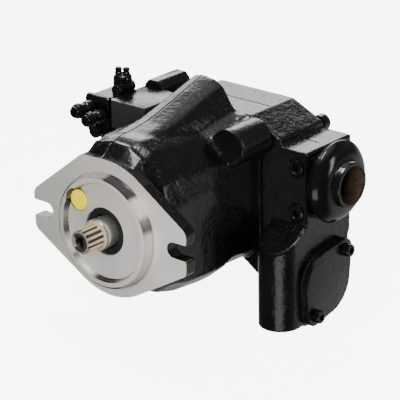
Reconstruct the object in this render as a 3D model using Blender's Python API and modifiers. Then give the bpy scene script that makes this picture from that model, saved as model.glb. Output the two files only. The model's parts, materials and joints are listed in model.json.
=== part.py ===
"""Variable axial piston pump: splined shaft, swashplate, nine pistons, port plate with side suction
fitting and blanked lower port, and a control valve group on the upper left side.

Frame: origin at the centre of the mounting flange's register, +Y along the shaft to the rear, +Z up.
Every length below is in millimetres; the helpers turn it into metres.
"""

import math

import bmesh
import bpy
from mathutils import Matrix, Vector

MM = 0.001
GAP = 0.3

# Mounting flange (two-bolt, pilot 101.6)
FLANGE_DEPTH = 12.5
PILOT_RADIUS = 50.8
PILOT_HEIGHT = 9.7
SLOT_CENTRE = 73.0
SLOT_WIDTH = 14.3
FLANGE_DISCS = (
    (0.0, 1.1, 62.4), (-27.0, 56.0, 6.7), (-78.6, 12.0, 9.6), (78.0, 13.2, 9.4),
    (-79.6, -14.7, 8.2), (81.0, -16.9, 5.8),
)
SEAL_RADIUS = 21.0
RECESS_FLOOR = -5.0
PLUG_X, PLUG_Z = -29.3, 22.9

# Lengthwise stations on the shaft axis
SHAFT_END = -38.0
SEAM = 140.0
PLATE_REAR = 206.0
PARTING = 170.0

# Rotating group
PISTONS = 9
PITCH_RADIUS = 29.0
PISTON_RADIUS = 8.0
BALL_RADIUS = 5.5
PIVOT_Y = 60.0
CAVITY_RADIUS = 46.0
SWASH_RADIUS = 40.0
SWASH_FACE = 51.2
CRADLE_RADIUS = 30.0
BARREL_FRONT = 88.0
BARREL_REAR = 134.9
BARREL_RADIUS = 42.0
CONTROL_X, CONTROL_Z = -7.0, 64.0
CONTROL_RADIUS = 7.0

# Drain boss on the housing's upper right
DRAIN_X, DRAIN_Z, DRAIN_RADIUS, DRAIN_FRONT = 51.5, 57.0, 17.4, 98.0

# Side block, column and ports on the port plate
BLOCK_RIGHT = 105.0
BLOCK_TOP = 51.5
SUCTION_Y, SUCTION_Z = 172.0, 19.0
SUCTION_BORE = 16.5
COLUMN_X, COLUMN_Y, COLUMN_RADIUS = 85.0, 129.0, 20.0
COLUMN_BOTTOM = -111.0
COVER_DISCS = ((163.0, -75.0, 31.5), (187.0, -51.0, 10.0), (144.0, -100.6, 10.0))
COVER_BOLTS = ((187.0, -51.0), (144.0, -100.6))

# Control valve group
VALVE_TOP = 81.0
VALVE_FRONT = 80.0
LIMIT_X, LIMIT_Y = -76.0, 106.0
ADJUSTERS = ((-88.6, 71.6), (-75.4, 66.4))



def clear_scene():
    for obj in list(bpy.data.objects):
        bpy.data.objects.remove(obj, do_unlink=True)


def make_collection(name):
    coll = bpy.data.collections.new(name)
    bpy.context.scene.collection.children.link(coll)
    return coll


clear_scene()
PARTS = make_collection("axial_piston_pump")
CUTTERS = make_collection("cutters")
FINISHES = {}


def finish(name, color, roughness, metallic):
    """A Principled material, made once and shared by name."""
    mat = bpy.data.materials.new(name)
    mat.use_nodes = True
    shader = mat.node_tree.nodes["Principled BSDF"]
    shader.inputs["Base Color"].default_value = (*color, 1.0)
    shader.inputs["Roughness"].default_value = roughness
    shader.inputs["Metallic"].default_value = metallic
    FINISHES[name] = mat


finish("black_paint", (0.012, 0.012, 0.012), 0.3, 0.0)
finish("machined_iron", (0.55, 0.53, 0.50), 0.38, 1.0)
finish("steel", (0.62, 0.60, 0.57), 0.25, 1.0)
finish("bronze", (0.55, 0.38, 0.16), 0.35, 1.0)
finish("seal_rubber", (0.015, 0.015, 0.015), 0.6, 0.0)
finish("yellow_plastic", (0.85, 0.72, 0.05), 0.45, 0.0)
finish("spring_steel", (0.35, 0.35, 0.36), 0.35, 1.0)


def keep(name, mesh, look, matrix=None):
    """One named part in the pump's collection."""
    obj = bpy.data.objects.new(name, mesh)
    obj.matrix_world = matrix or Matrix()
    PARTS.objects.link(obj)
    obj.data.materials.clear()
    obj.data.materials.append(FINISHES[look])
    return obj


def as_tool(obj):
    """Turn a part into a cutter: hidden from renders, drawn as wire, in the cutters' collection."""
    PARTS.objects.unlink(obj)
    CUTTERS.objects.link(obj)
    obj.hide_render = True
    obj.display_type = "WIRE"
    return obj


def boolean(target, tool, operation):
    mod = target.modifiers.new(operation.lower(), "BOOLEAN")
    mod.operation = operation
    mod.solver = "EXACT"
    mod.object = as_tool(tool)


def cut(target, *tools):
    for tool in tools:
        boolean(target, tool, "DIFFERENCE")


def join(target, *tools):
    for tool in tools:
        boolean(target, tool, "UNION")


def along(origin, direction):
    """A matrix that puts local +Z along direction, at origin (millimetres)."""
    turn = Vector(direction).to_track_quat("Z", "Y").to_matrix().to_4x4()
    return Matrix.Translation(Vector(origin) * MM) @ turn


def block(name, low, high, look="black_paint", bevel=0.0):
    bm = bmesh.new()
    bmesh.ops.create_cube(bm, size=1.0)
    size = [(h - l) * MM for l, h in zip(low, high)]
    centre = [(h + l) / 2 * MM for l, h in zip(low, high)]
    bmesh.ops.scale(bm, vec=size, verts=bm.verts)
    bmesh.ops.translate(bm, vec=centre, verts=bm.verts)
    mesh = bpy.data.meshes.new(name)
    bm.to_mesh(mesh)
    bm.free()
    obj = keep(name, mesh, look)
    if bevel:
        mod = obj.modifiers.new("edges", "BEVEL")
        mod.width = bevel * MM
        mod.segments = 2
    return obj


def cylinder(name, radius, start, end, look="black_paint", sides=32, end_radius=None):
    """A cylinder, or a cone, from start to end, both (x, y, z)."""
    start, end = Vector(start), Vector(end)
    bm = bmesh.new()
    top = radius if end_radius is None else end_radius
    bmesh.ops.create_cone(
        bm, cap_ends=True, segments=sides, radius1=radius * MM, radius2=top * MM,
        depth=(end - start).length * MM,
    )
    mesh = bpy.data.meshes.new(name)
    bm.to_mesh(mesh)
    bm.free()
    mesh.shade_smooth()
    mesh.set_sharp_from_angle(angle=math.radians(35))
    return keep(name, mesh, look, along((start + end) / 2, end - start))


def turned(name, profile, origin, direction, look="steel", steps=32, ring=False):
    """A profile of (radius, height) down its outer side, turned about direction with a Screw modifier."""
    mesh = bpy.data.meshes.new(name)
    verts = [(r * MM, 0.0, h * MM) for r, h in profile]
    edges = [(i, i + 1) for i in range(len(verts) - 1)]
    if ring:
        edges.append((len(verts) - 1, 0))
    mesh.from_pydata(verts, edges, [])
    obj = keep(name, mesh, look, along(origin, direction))
    mod = obj.modifiers.new("turn", "SCREW")
    mod.axis = "Z"
    mod.angle = math.tau
    mod.steps = mod.render_steps = steps
    mod.use_merge_vertices = True
    mod.merge_threshold = 0.00001
    mod.use_smooth_shade = True
    return obj


def curve_to_mesh(curve_obj, name, look):
    """The curve's evaluated mesh as a part, with its caps welded."""
    PARTS.objects.link(curve_obj)
    bpy.context.view_layer.update()
    depsgraph = bpy.context.evaluated_depsgraph_get()
    mesh = bpy.data.meshes.new_from_object(curve_obj.evaluated_get(depsgraph))
    bm = bmesh.new()
    bm.from_mesh(mesh)
    bmesh.ops.remove_doubles(bm, verts=bm.verts, dist=1e-6)
    bmesh.ops.recalc_face_normals(bm, faces=bm.faces)
    bm.to_mesh(mesh)
    bm.free()
    matrix = curve_obj.matrix_world.copy()
    bpy.data.objects.remove(curve_obj)
    return keep(name, mesh, look, matrix)


def plate(name, outline, low, high, axis, look="black_paint"):
    """A flat outline extruded from low to high along axis X, Y or Z.

    The outline's two coordinates are (Y, Z) for X, (X, Z) for Y and (X, Y) for Z.
    """
    data = bpy.data.curves.new(name, "CURVE")
    data.dimensions = "2D"
    data.fill_mode = "BOTH"
    data.extrude = (high - low) / 2 * MM
    spline = data.splines.new("POLY")
    spline.points.add(len(outline) - 1)
    for point, (u, v) in zip(spline.points, outline):
        point.co = (u * MM, v * MM, 0.0, 1.0)
    spline.use_cyclic_u = True
    obj = bpy.data.objects.new(name, data)
    middle = (high + low) / 2 * MM
    frames = {
        "X": Matrix(((0, 0, 1, middle), (1, 0, 0, 0), (0, 1, 0, 0), (0, 0, 0, 1))),
        "Y": Matrix(((1, 0, 0, 0), (0, 0, -1, middle), (0, 1, 0, 0), (0, 0, 0, 1))),
        "Z": Matrix(((1, 0, 0, 0), (0, 1, 0, 0), (0, 0, 1, middle), (0, 0, 0, 1))),
    }
    obj.matrix_world = frames[axis]
    return curve_to_mesh(obj, name, look)


def hull_outline(discs, count=72):
    """The outline round a set of discs (u, v, radius), with straight tangents between them."""
    points = []
    for i in range(count):
        angle = math.tau * i / count
        du, dv = math.cos(angle), math.sin(angle)
        u, v, r = max(discs, key=lambda d: d[0] * du + d[1] * dv + d[2])
        points.append((u + r * du, v + r * dv))
    return points


def loft(name, stations, look="black_paint"):
    """A skin over sections along Y: stations are (y, [(x, z), ...]), each with as many points."""
    bm = bmesh.new()
    rows = [
        [bm.verts.new((x * MM, y * MM, z * MM)) for x, z in outline]
        for y, outline in stations
    ]
    count = len(rows[0])
    for near, far in zip(rows, rows[1:]):
        for i in range(count):
            j = (i + 1) % count
            bm.faces.new((near[i], near[j], far[j], far[i]))
    bm.faces.new(rows[0])
    bm.faces.new(rows[-1])
    bmesh.ops.recalc_face_normals(bm, faces=bm.faces)
    bmesh.ops.triangulate(bm, faces=bm.faces)
    mesh = bpy.data.meshes.new(name)
    bm.to_mesh(mesh)
    bm.free()
    return keep(name, mesh, look)


def coil(name, centre, start_y, end_y, radius, wire, turns, look="spring_steel", points=10):
    """A compression spring along Y."""
    data = bpy.data.curves.new(name, "CURVE")
    data.dimensions = "3D"
    data.bevel_depth = wire / 2 * MM
    data.bevel_resolution = 0
    data.use_fill_caps = True
    count = int(turns * points) + 1
    spline = data.splines.new("POLY")
    spline.points.add(count - 1)
    for i, point in enumerate(spline.points):
        angle = math.tau * i / points
        y = start_y + (end_y - start_y) * i / (count - 1)
        x = centre[0] + radius * math.cos(angle)
        z = centre[1] + radius * math.sin(angle)
        point.co = (x * MM, y * MM, z * MM, 1.0)
    return curve_to_mesh(bpy.data.objects.new(name, data), name, look)


def hex_prism(name, across_flats, start, end, look="steel"):
    return cylinder(name, across_flats / math.sqrt(3), start, end, look, sides=6)


def gear_outline(teeth, root, tip):
    """A straight-sided spline outline."""
    points = []
    pitch = math.tau / teeth
    for i in range(teeth):
        for share, radius in ((-0.30, root), (-0.17, tip), (0.17, tip), (0.30, root)):
            angle = (i + share) * pitch
            points.append((radius * math.cos(angle), radius * math.sin(angle)))
    return points


# Housing -------------------------------------------------------------------------------------

BODY_SECTIONS = (
    (FLANGE_DEPTH - 2, ((-30, -54), (26, -54), (46, -38), (53, -10), (52, 14), (44, 33), (29, 50),
                        (13, 60), (-7, 61), (-30, 59), (-42, 48), (-50, -34))),
    (20, ((-30, -57), (27, -57), (47, -42), (53, -8), (53, 21), (46, 42), (28, 64),
          (12.5, 74), (-7, 75), (-29, 68), (-42, 54), (-51, -36))),
    (27, ((-30, -61), (28, -61), (49, -46), (53, -8), (53, 22), (46, 44), (27, 68.5),
          (13, 76), (-7, 77), (-27, 73), (-42, 56), (-51, -38))),
    (45, ((-30, -65), (31, -65), (51, -50), (53, -6), (53, 23.3), (48, 45), (28, 67),
          (14, 75), (-7, 77), (-27, 74), (-42, 56), (-52, -40))),
    (79, ((-30, -67), (33, -67), (52, -51), (53, -5), (53, 26.2), (50, 46), (30, 64),
          (20, 70), (-7, 76), (-27, 74), (-42, 54), (-52, -42))),
    (80, ((-30, -67), (33, -67), (52, -51), (53, -5), (53, 26.2), (50, 46), (30, 64),
          (20, 70), (-7, 76), (-26, 54), (-48, 48), (-52, -42))),
    (92, ((-30, -67), (33, -67), (52, -51), (53, -4), (52.5, 27.3), (51, 44), (31, 63),
          (22, 68), (-7, 74), (-27, 54.0), (-50, 50), (-52, -42))),
    (104, ((-30, -58), (40, -58), (52, -46), (52.5, -4), (52.5, 28.5), (51, 46), (36, 64),
           (25, 70), (-7, 74), (-27, 54.2), (-50, 51), (-52, -41))),
    (131, ((-30, -58), (42, -58), (52, -48), (52, -4), (52.5, 31), (53, 50), (44, 67),
           (32, 73.5), (-7, 75), (-27, 54.5), (-50, 54), (-52, -42))),
    (133, ((-30, -60), (44, -60), (54.5, -50), (54.5, -4), (54.5, 31), (56, 50), (48, 69),
           (38, 74), (-7, 76), (-27, 54.6), (-52, 54.6), (-54, -44))),
    (SEAM, ((-30, -60), (44, -60), (54.5, -50), (54.5, -4), (54.5, 31), (56, 50), (48, 69),
            (38, 74), (-7, 76), (-27, 54.6), (-52, 54.6), (-54, -44))),
)

HUMP_SECTIONS = (
    (20, ((-25, 50), (11, 50), (12, 62), (12, 67), (11.5, 71), (10, 73.5), (-7, 74.5), (-17, 74),
          (-25, 70))),
    (62, ((-26.5, 50), (16, 50), (18, 68), (16.5, 73), (14, 76.5), (8, 79), (-7, 80), (-18, 79),
          (-26.5, 74))),
    (87, ((-26.8, 50), (20, 50), (22, 70), (18, 77), (12, 83), (5, 85.5), (-7, 86.5), (-18, 85),
          (-26.8, 77))),
    (131, ((-27, 50), (26, 50), (28, 74), (20, 85), (12, 95), (4, 98.8), (-7, 99.8), (-17, 98.5),
           (-27, 89))),
    (SEAM - 1, ((-27, 50), (27, 50), (29, 74), (21, 85), (14.7, 95), (5.6, 100.2), (-7, 101.8),
                (-17, 100.8), (-27, 91))),
)


def flange_outline():
    return hull_outline(FLANGE_DISCS, 72)


def make_housing():
    housing = loft("pump_housing", BODY_SECTIONS)
    flange = plate("flange_solid", flange_outline(), 0.0, FLANGE_DEPTH, "Y")
    pilot = turned(
        "pilot_solid",
        [(0, PILOT_HEIGHT), (PILOT_RADIUS - 1.5, PILOT_HEIGHT), (PILOT_RADIUS, PILOT_HEIGHT - 1.5),
         (PILOT_RADIUS, 1.2), (PILOT_RADIUS + 1.2, 0), (PILOT_RADIUS + 1.2, -2), (0, -2)],
        (0, 0, 0), (0, -1, 0), steps=48,
    )
    hump = loft("hump_solid", HUMP_SECTIONS)
    boss = cylinder("drain_boss", DRAIN_RADIUS, (DRAIN_X, DRAIN_FRONT, DRAIN_Z),
                    (DRAIN_X, SEAM - 0.2, DRAIN_Z), sides=32)
    join(housing, hump, flange, pilot, boss)
    for side in (-1, 1):
        name = "right" if side > 0 else "left"
        inner = cylinder(f"slot_{name}", SLOT_WIDTH / 2, (side * SLOT_CENTRE, -5, 0),
                         (side * SLOT_CENTRE, 26, 0), sides=24)
        mouth = block(f"slot_mouth_{name}",
                      (min(side * SLOT_CENTRE, side * 100), -5, -SLOT_WIDTH / 2),
                      (max(side * SLOT_CENTRE, side * 100), 26, SLOT_WIDTH / 2))
        cut(housing, inner, mouth)
    cut(
        housing,
        turned("face_recess", [(0, 12), (44.0, 12), (43.0, -RECESS_FLOOR), (0, -RECESS_FLOOR)], (0, 0, 0), (0, -1, 0),
               steps=40),
        cylinder("seal_bore", SEAL_RADIUS, (0, -12, 0), (0, 8, 0), sides=32),
        cylinder("front_bearing_bore", 26.3, (0, 6, 0), (0, 40, 0), sides=32),
        cylinder("case_cavity", CAVITY_RADIUS, (0, 25, 0), (0, SEAM + 5, 0), sides=40),
        cylinder("plug_hole", 8.4, (PLUG_X, -12, PLUG_Z), (PLUG_X, 2.5, PLUG_Z), sides=16),
        cylinder("plug_spotface", 10.8, (PLUG_X, -12, PLUG_Z), (PLUG_X, RECESS_FLOOR, PLUG_Z), sides=24),
        block("lever_slot", (-15.5, 30, 40), (1.5, 74, 72)),
        cylinder("control_bore", CONTROL_RADIUS + GAP, (CONTROL_X, 60, CONTROL_Z),
                 (CONTROL_X, SEAM + 5, CONTROL_Z), sides=16),
        cylinder("spring_pocket", 7.4, (CONTROL_X, 21, 59), (CONTROL_X, 40, 59), sides=14),
    )
    for side in (-1, 1):
        seat = block(f"cradle_seat_{'right' if side > 0 else 'left'}",
                     (min(side * 22, side * 37), 24, -14), (max(side * 22, side * 37), 36, 22))
        cut(seat, cylinder(f"seat_arc_{side}", CRADLE_RADIUS + 3.1, (-60, PIVOT_Y, 0), (60, PIVOT_Y, 0),
                           sides=40))
        join(housing, seat)
    return housing


# Port plate -----------------------------------------------------------------------------------

PLATE_SECTION = ((-30, -58), (40, -58), (54, -48), (54, -4), (60, 43), (76, 50), (76, 58),
                 (42, 73.5), (-42, 73.5), (-52, 64), (-56, 40), (-56, -44))


def port_pad_outline():
    discs = [(y, z, r + 2.5) for y, z, r in COVER_DISCS]
    discs.append((COLUMN_Y + 12, COLUMN_BOTTOM + 12, 12.0))
    discs.append((190.0, -30.0, 15.0))
    discs.append((142.0, -30.0, 12.0))
    return hull_outline(discs, 48)


def make_port_plate():
    front = SEAM + GAP
    plate_body = loft("port_plate", (
        (front, PLATE_SECTION),
        (PARTING, PLATE_SECTION),
        (PLATE_REAR - 3, tuple((x * 0.99, z * 0.99) for x, z in PLATE_SECTION)),
        (PLATE_REAR, tuple((x * 0.95, z * 0.96) for x, z in PLATE_SECTION)),
    ))
    side = block("side_block", (40, front, -40), (BLOCK_RIGHT, PLATE_REAR - 1, BLOCK_TOP))
    column = cylinder("column_solid", COLUMN_RADIUS, (COLUMN_X, COLUMN_Y, COLUMN_BOTTOM),
                      (COLUMN_X, COLUMN_Y, -12), sides=28)
    pad = plate("pad_solid", port_pad_outline(), 74.0, BLOCK_RIGHT, "X")
    root = block("column_root", (COLUMN_X - 14, COLUMN_Y, COLUMN_BOTTOM + 2), (BLOCK_RIGHT, 165, -18))
    web = plate("web_solid", ((0, -50), (64, -92), (80, -92), (80, -20), (0, -20)), 146.0, 164.0, "Y")
    slope = plate("shoulder_cut", ((90, 0), (90, -50), (109, -38), (SEAM + 0.2, -18), (SEAM + 0.2, 0)),
                  40, 130, "X")
    lower = block("lower_cut", (38, SEAM - 5, -75), (66, 146, -58.5))
    cut(column, slope)
    cut(root, plate("root_cut", ((90, 5), (90, -50), (109, -38), (SEAM + 0.2, -18), (SEAM + 0.2, 5)),
                    40, 130, "X"))
    join(plate_body, side, column, pad, root, web)
    cut(
        plate_body,
        lower,
        cylinder("rear_bearing_bore", 24.0, (0, SEAM - 5, 0), (0, 166, 0), sides=28),
        cylinder("suction_kidney", 6.2, (31.6, SEAM - 5, 0), (31.6, SUCTION_Y, 0), sides=12),
        cylinder("suction_bore", SUCTION_BORE, (26, SUCTION_Y, 12), (BLOCK_RIGHT + 5, SUCTION_Y, SUCTION_Z),
                 sides=28),
        cylinder("pressure_kidney", 5.0, (-31.6, SEAM - 5, 0), (-31.6, 182, 0), sides=12),
        cylinder("pressure_bore", 9.5, (-27, 180, 0), (-70, 180, 0), sides=20),
        cylinder("lower_port_bore", 14.0, (82, 163, -75), (BLOCK_RIGHT + 5, 163, -75), sides=18),
    )
    for i, (x, z) in enumerate(PLUG_CENTRES):
        cut(plate_body, cylinder(f"plug_seat_{i}", 8.3, (x, SEAM - 5, z), (x, SEAM + 9, z), sides=16))
    for i, (x, z) in enumerate(REAR_BOLTS):
        cut(plate_body, cylinder(f"rear_bolt_hole_{i}", 5.3, (x, PLATE_REAR - 22, z),
                                 (x, PLATE_REAR + 5, z), sides=10))
    for i, (y, z) in enumerate(COVER_BOLTS):
        cut(plate_body, cylinder(f"cover_bolt_hole_{i}", 4.3, (BLOCK_RIGHT - 14, y, z),
                                 (BLOCK_RIGHT + 5, y, z), sides=10))
    return plate_body


PLUG_CENTRES = ((93.6, 36.2), (93.6, -5.9))
REAR_BOLTS = ((67.0, 52.0), (-43.0, 56.0), (42.0, -46.0), (-43.0, -42.0))


# Small hardware -------------------------------------------------------------------------------


def make_screw_plug(name, x, z):
    """A flush socket plug in the side block's front face."""
    plug = turned(name, [(0, 1.0), (7.2, 1.0), (8.0, 0.2), (8.0, -8.0), (0, -8.0)],
                  (x, SEAM, z), (0, -1, 0), "black_paint", steps=16)
    cut(plug, hex_prism(f"{name}_socket", 8.0, (x, SEAM - 4, z), (x, SEAM + 4.5, z)))
    return plug


def make_bolt(name, seat, direction, shank_radius, shank, head_radius, head, socket, look="black_paint"):
    """A socket-head bolt: the seat is the point under its head, direction points out of the head."""
    profile = [(0, head), (head_radius - 0.8, head), (head_radius, head - 0.8), (head_radius, 0),
               (shank_radius, 0), (shank_radius, -shank), (0, -shank)]
    bolt = turned(name, profile, seat, direction, look, steps=14)
    top = Vector(seat) + Vector(direction) * head
    cut(bolt, hex_prism(f"{name}_socket", socket, top - Vector(direction) * head * 0.55,
                        top + Vector(direction) * 3))
    return bolt


def make_transport_plug():
    plug = turned("transport_plug", [(0, 3.4), (8.6, 3.4), (9.8, 2.4), (9.8, 0.3), (8.0, 0.3),
                                     (8.0, -6.5), (0, -6.5)],
                  (PLUG_X, RECESS_FLOOR, PLUG_Z), (0, -1, 0), "yellow_plastic", steps=20)
    cut(plug, block("plug_slot", (PLUG_X - 6.5, -13, PLUG_Z - 1.0), (PLUG_X + 6.5, -7.0, PLUG_Z + 1.0)))
    return plug


def make_suction_fitting():
    x0 = GAP
    profile = [
        (20.2, 26.0), (20.9, 25.4), (21.2, 19.5), (27.0, 18.4), (33.5, 14.6), (37.0, 11.5),
        (37.5, 8.5), (35.4, 6.4), (33.6, 6.0), (33.6, 4.6), (31.0, 4.2), (31.0, x0),
        (SUCTION_BORE, x0), (SUCTION_BORE, 25.2), (17.3, 26.0),
    ]
    return turned("suction_fitting", profile, (BLOCK_RIGHT, SUCTION_Y, SUCTION_Z), (1, 0, 0),
                  "black_paint", steps=26, ring=True)


def make_cover():
    gasket = plate("cover_gasket", hull_outline([(y, z, r - 1.0) for y, z, r in COVER_DISCS], 32),
                   BLOCK_RIGHT + GAP, BLOCK_RIGHT + 1.5, "X", "seal_rubber")
    cover = plate("blanking_cover", hull_outline(COVER_DISCS, 32), BLOCK_RIGHT + 1.8,
                  BLOCK_RIGHT + 8.0, "X")
    for i, (y, z) in enumerate(COVER_BOLTS):
        for target, start in ((gasket, -1), (cover, 0)):
            hole = cylinder(f"{target.name}_hole_{i}", 4.3, (BLOCK_RIGHT + start, y, z),
                            (BLOCK_RIGHT + 12, y, z), sides=10)
            cut(target, hole)
        make_bolt(f"cover_bolt_{i + 1}", (BLOCK_RIGHT + 8.3, y, z), (1, 0, 0), 4.0, 19.0,
                  6.5, 7.0, 6.0)


# Control valve group ---------------------------------------------------------------------------


def make_valve_group():
    block("valve_body", (-70, VALVE_FRONT, 55.2), (-27.8, 130, VALVE_TOP))
    plate("control_rear_block", ((-72, 64), (-57, 64), (-51, 75), (-51, 82), (-56, 87), (-67, 87),
                                 (-72, 82)), 130.3, 170, "Y")
    end = block("valve_end_block", (-96.5, VALVE_FRONT, 47), (-70.3, 119, VALVE_TOP - 2))
    join(end, cylinder("lower_boss", 6.0, (-83, VALVE_FRONT + 3, 47), (-83, 112, 47), sides=16),
         cylinder("limit_barrel", 5.2, (LIMIT_X, 96, 83.5), (LIMIT_X, 118, 83.5), sides=16),
         cylinder("limit_seat", 4.6, (LIMIT_X, LIMIT_Y, 78), (LIMIT_X, LIMIT_Y, 90), sides=16))
    for i, (x, z) in enumerate(ADJUSTERS, 1):
        join(end, turned(
            f"adjuster_boss_{i}",
            [(0, 17), (5.4, 17), (5.4, 12), (6.4, 11), (6.4, 3), (5.0, 1.6), (5.0, -2), (0, -2)],
            (x, VALVE_FRONT, z), (0, -1, 0), steps=16))
        cut(end,
            cylinder(f"spool_bore_{i}", 4.3, (x, 86, z), (x, 116, z), sides=12),
            cylinder(f"spring_bore_{i}", 5.0, (x, 77, z), (x, 98, z), sides=12),
            cylinder(f"adjuster_bore_{i}", 3.3, (x, 60, z), (x, 80, z), sides=12))
        nut = hex_prism(f"lock_nut_{i}", 11.6, (x, VALVE_FRONT - 17.3, z),
                        (x, VALVE_FRONT - 23.5, z), "black_paint")
        cut(nut, cylinder(f"nut_bore_{i}", 3.3, (x, VALVE_FRONT - 10, z), (x, VALVE_FRONT - 25, z),
                          sides=12))
        screw = turned(f"adjusting_screw_{i}",
                       [(0, 24.5), (2.6, 24.5), (3.0, 24.1), (3.0, -4.6), (4.4, -4.6), (4.4, -7),
                        (0, -7)],
                       (x, VALVE_FRONT, z), (0, -1, 0), "black_paint", steps=12)
        cut(screw, hex_prism(f"adjuster_socket_{i}", 2.6, (x, VALVE_FRONT - 28, z),
                             (x, VALVE_FRONT - 20, z)))
        coil(f"valve_spring_{i}", (x, z), 88.5, 96.2, 3.4, 1.2, 4, points=7)
        turned(f"valve_spool_{i}",
               [(0, 15), (3.8, 15), (3.8, 10), (2.6, 9.4), (2.6, 4.6), (3.8, 4), (3.8, 0), (0, 0)],
               (x, 112.5, z), (0, -1, 0), "steel", steps=12)
    screw = turned("limit_screw", [(0, 14), (2.6, 14), (2.6, 9), (6.2, 8), (6.2, 4), (4.4, 3.4),
                                   (4.4, GAP), (0, GAP)],
                   (LIMIT_X, LIMIT_Y, 90), (0, 0, 1), "black_paint", steps=14)
    cut(screw, hex_prism("limit_socket", 2.6, (LIMIT_X, LIMIT_Y, 101), (LIMIT_X, LIMIT_Y, 106)))


# Rotating group --------------------------------------------------------------------------------


def make_shaft():
    profile = [
        (0, -SHAFT_END - 7), (10.0, -SHAFT_END - 7), (10.0, 17), (12.8, 17), (14.0, 15.8), (14.0, -5.5),
        (13.0, -5.5), (12.0, -7.5), (12.0, -108), (13.0, -109), (13.0, -133), (10.0, -134),
        (10.0, -163), (9.0, -164), (0, -164),
    ]
    shaft = turned("drive_shaft", profile, (0, 0, 0), (0, -1, 0), "steel", steps=26)
    spline = plate("drive_spline", gear_outline(13, 9.6, 11.1), SHAFT_END, -15.8, "Y", "steel")
    cut(spline, turned("spline_chamfer", [(20, 8), (20, -3.5), (8.6, 0), (8.6, 8)],
                       (0, SHAFT_END, 0), (0, -1, 0), steps=36, ring=True))
    join(shaft, spline)
    cut(shaft, turned("centre_hole", [(0, 6), (8.8, 6), (3.9, 0), (3.0, -9), (0, -11)],
                      (0, SHAFT_END, 0), (0, -1, 0), steps=20))
    return shaft


def make_bearing(name, outer, inner, near, far, mouth):
    """A tapered roller bearing as its cup and its cone with rollers. The mouth is +1 when it opens to +Y."""
    middle = (outer + inner) / 2
    wide, narrow = middle + 1.8, middle - 1.8
    first, last = (narrow, wide) if mouth > 0 else (wide, narrow)
    turned(f"{name}_cup", [(outer, -near), (outer, -far), (last, -far), (first, -near)],
           (0, 0, 0), (0, -1, 0), "steel", steps=24, ring=True)
    turned(f"{name}_cone",
           [(first - 0.4, -near), (last - 0.4, -far), (inner, -far), (inner, -near)],
           (0, 0, 0), (0, -1, 0), "steel", steps=24, ring=True)


def make_shaft_seal():
    return turned("shaft_seal", [(20.7, 3.6), (20.7, -4.6), (18.0, -4.6), (18.0, 1.6), (15.2, 1.6),
                                 (14.4, -1.5), (14.4, 0.8), (15.4, 3.6)],
                  (0, 0, 0), (0, -1, 0), "seal_rubber", steps=20, ring=True)


def make_swashplate():
    swash = cylinder("swashplate", SWASH_RADIUS, (0, 38, 0), (0, SWASH_FACE, 0), "steel", sides=36)
    lever = block("swash_lever", (-12, 38.2, 30), (-2, 50, 67.5), "steel")
    join(swash, lever)
    for side in (-1, 1):
        low, high = sorted((side * 23.0, side * 36.0))
        pad = cylinder(f"cradle_pad_{side}", CRADLE_RADIUS, (low, PIVOT_Y, 0), (high, PIVOT_Y, 0),
                       sides=40)
        trim = block(f"cradle_trim_{side}", (low - 5, 42.5, -50), (high + 5, 100, 50))
        cut(pad, trim)
        join(swash, pad)
    cut(swash, cylinder("swash_bore", 19.0, (0, 20, 0), (0, 60, 0), sides=24))
    return swash


def make_cradle_bearing(name, side):
    """A cylindrical bearing shell between the swashplate's pad and the housing's seat."""
    low, high = sorted((side * 23.0, side * 36.0))
    shell = cylinder(name, CRADLE_RADIUS + 2.8, (low, PIVOT_Y, 0), (high, PIVOT_Y, 0), "bronze",
                     sides=40)
    cut(shell,
        block(f"{name}_top_trim", (low - 5, 20, 19.5), (high + 5, 60, 40)),
        block(f"{name}_low_trim", (low - 5, 20, -40), (high + 5, 60, -13.2)),
        cylinder(f"{name}_inner", CRADLE_RADIUS + GAP, (low - 5, PIVOT_Y, 0), (high + 5, PIVOT_Y, 0),
                 sides=40),
        block(f"{name}_trim", (low - 5, 37.5, -60), (high + 5, 120, 60)))
    return shell


def piston_angle(i):
    return math.radians(90.0 + 360.0 / PISTONS * i)


def make_pistons():
    for i in range(PISTONS):
        x = PITCH_RADIUS * math.cos(piston_angle(i))
        z = PITCH_RADIUS * math.sin(piston_angle(i))
        ball = [(BALL_RADIUS * math.sin(math.radians(a)), BALL_RADIUS * math.cos(math.radians(a)))
                for a in (0, 36, 72, 108, 147)]
        profile = ball + [(3.0, -9.0), (6.5, -12.0), (PISTON_RADIUS, -14.0), (PISTON_RADIUS, -58.0),
                          (0, -58.0)]
        turned(f"piston_{i + 1}", profile, (x, PIVOT_Y, z), (0, -1, 0), "steel", steps=14)
        socket = BALL_RADIUS + 0.7
        inside = [(socket * math.sin(math.radians(a)), socket * math.cos(math.radians(a)))
                  for a in (122, 88, 58, 28, 0)]
        shoe = [(0, 8.5), (9.3, 8.5), (9.3, 6.0), (7.2, 5.8), (7.3, -1.2), (6.4, inside[0][1])]
        turned(f"slipper_{i + 1}", shoe + inside, (x, PIVOT_Y, z), (0, -1, 0), "bronze", steps=12)


def make_barrel():
    barrel = cylinder("cylinder_barrel", BARREL_RADIUS, (0, BARREL_FRONT, 0), (0, BARREL_REAR, 0),
                      "steel", sides=36)
    cut(barrel,
        cylinder("barrel_bore", 13.5, (0, 80, 0), (0, 140, 0), sides=20),
        cylinder("barrel_counterbore", 18.5, (0, 80, 0), (0, 111, 0), sides=20))
    for i in range(PISTONS):
        x = PITCH_RADIUS * math.cos(piston_angle(i))
        z = PITCH_RADIUS * math.sin(piston_angle(i))
        cut(barrel,
            cylinder(f"cylinder_bore_{i + 1}", PISTON_RADIUS + GAP, (x, 80, z), (x, 129, z), sides=14),
            cylinder(f"cylinder_port_{i + 1}", 4.0, (x, 120, z), (x, 140, z), sides=8))
    return barrel


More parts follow.
